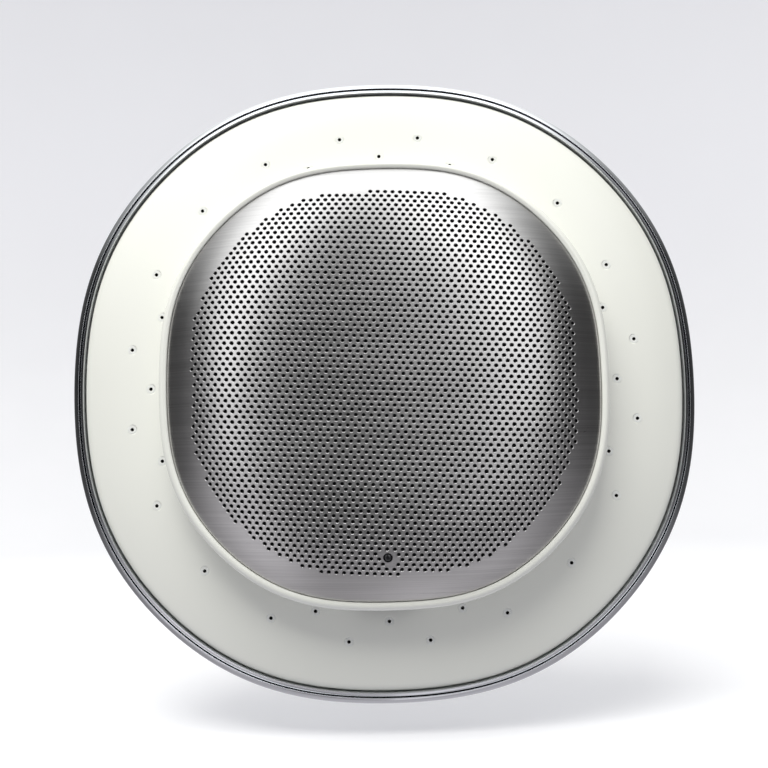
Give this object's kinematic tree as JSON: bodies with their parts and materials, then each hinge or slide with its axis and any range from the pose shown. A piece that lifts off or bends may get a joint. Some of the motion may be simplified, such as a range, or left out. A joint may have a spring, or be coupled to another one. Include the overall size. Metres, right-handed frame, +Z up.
{
  "type": "shower speaker",
  "caption": "Squared-round shower head on a ball joint with a removable battery speaker docked in the middle of its nozzle ring.",
  "frame": {"origin": "centre of the assembly's bounding box, on the axis of the ball joint", "axes": "-Y out of the spray face and speaker grille, +Y out of the pipe inlet, +Z up towards the top of the grille"},
  "size_m": [0.204, 0.114, 0.204],
  "materials": {
    "gloss_white": "gloss injection-moulded white with a warm tint",
    "chrome": "mirror-bright plating",
    "brushed_steel": "stainless sheet, brushed from side to side",
    "soft_white": "soft translucent white silicone",
    "black_rubber": "satin moulded rubber",
    "grey_plastic": "fine matt texture",
    "black_plastic": "fine matt texture",
    "black_cloth": "fine woven acoustic cloth",
    "nickel": "satin nickel plating",
    "plated_steel": "zinc plated",
    "brass": "turned",
    "circuit_board": "solder mask",
    "cell_wrap": "shrink wrap",
    "cone_paper": "pressed fibre",
    "spider_cloth": "resin-treated cotton",
    "copper_wire": "enamelled copper winding",
    "smoked_lens": "smoked clear plastic"
  },
  "bodies": {
    "arm_connector": {"ball_stud": "chrome", "inlet_screen": "plated_steel", "inlet_washer": "black_rubber", "flow_regulator": "grey_plastic"},
    "seal_ring": {"ball_seal": "black_rubber"},
    "gland_ring": {"ball_gland": "soft_white"},
    "head": {"ball_socket": "brass", "collar_nut": "chrome", "socket_oring": "black_rubber", "rear_shell": "chrome", "trim_ring": "chrome", "spray_face": "gloss_white", "nozzle_mat": "soft_white", "dock_tray": "gloss_white", "dock_magnet_1": "nickel", "dock_magnet_2": "nickel", "dock_magnet_3": "nickel", "dock_pad": "black_rubber", "dock_screw_1": "plated_steel", "dock_screw_2": "plated_steel", "dock_screw_3": "plated_steel", "dock_seal": "black_rubber", "chamber_seal": "black_rubber", "water_plate": "grey_plastic"},
    "speaker": {"grille": "brushed_steel", "acoustic_cloth": "black_cloth", "front_bezel": "gloss_white", "speaker_case": "gloss_white", "case_screw_1": "plated_steel", "case_screw_2": "plated_steel", "case_screw_3": "plated_steel", "case_screw_4": "plated_steel", "case_gasket": "black_rubber", "rear_pad": "black_rubber", "baffle": "black_plastic", "driver_frame": "black_plastic", "driver_screw_1": "plated_steel", "driver_screw_2": "plated_steel", "driver_screw_3": "plated_steel", "driver_screw_4": "plated_steel", "magnet_cup": "plated_steel", "driver_magnet": "nickel", "pole_piece": "plated_steel", "surround": "black_rubber", "spider": "spider_cloth", "keeper_disc_1": "plated_steel", "keeper_disc_2": "plated_steel", "keeper_disc_3": "plated_steel", "battery_pack": "cell_wrap", "main_board": "circuit_board", "charge_port": "plated_steel", "button_board": "circuit_board", "light_pipe": "smoked_lens"},
    "cone": {"voice_coil": "copper_wire", "speaker_cone": "cone_paper", "dust_cap": "cone_paper"},
    "volume_up": {"volume_up_button": "grey_plastic"},
    "power": {"power_button": "grey_plastic"},
    "volume_down": {"volume_down_button": "grey_plastic"},
    "port_flap": {"port_cover": "black_rubber"}
  },
  "joints": [
    {"name": "head_spin", "type": "hinge", "parent": "arm_connector", "child": "seal_ring", "pos_m": [0, 0.0185, 0], "axis": [0, 1, 0], "continuous": true},
    {"name": "head_tilt", "type": "hinge", "parent": "seal_ring", "child": "gland_ring", "pos_m": [0, 0.0185, 0], "axis": [1, 0, 0], "range_deg": [-12, 12]},
    {"name": "head_swing", "type": "hinge", "parent": "gland_ring", "child": "head", "pos_m": [0, 0.0185, 0], "axis": [0, 0, 1], "range_deg": [-12, 12]},
    {"name": "speaker_release", "type": "slide", "parent": "head", "child": "speaker", "axis": [0, -1, 0], "range_m": [0, 0.06]},
    {"name": "volume_up_press", "type": "slide", "parent": "speaker", "child": "volume_up", "axis": [-1, 0, 0], "range_m": [0, 0.0006]},
    {"name": "power_press", "type": "slide", "parent": "speaker", "child": "power", "axis": [-1, 0, 0], "range_m": [0, 0.0006]},
    {"name": "volume_down_press", "type": "slide", "parent": "speaker", "child": "volume_down", "axis": [-1, 0, 0], "range_m": [0, 0.0006]},
    {"name": "port_cover_swing", "type": "hinge", "parent": "speaker", "child": "port_flap", "pos_m": [-0.0083, -0.03925, -0.0688], "axis": [0, 1, 0], "range_deg": [0, 110]},
    {"name": "cone_travel", "type": "slide", "parent": "speaker", "child": "cone", "axis": [0, -1, 0], "range_m": [-0.0015, 0.0015], "deforming": ["surround", "spider"]}
  ]
}
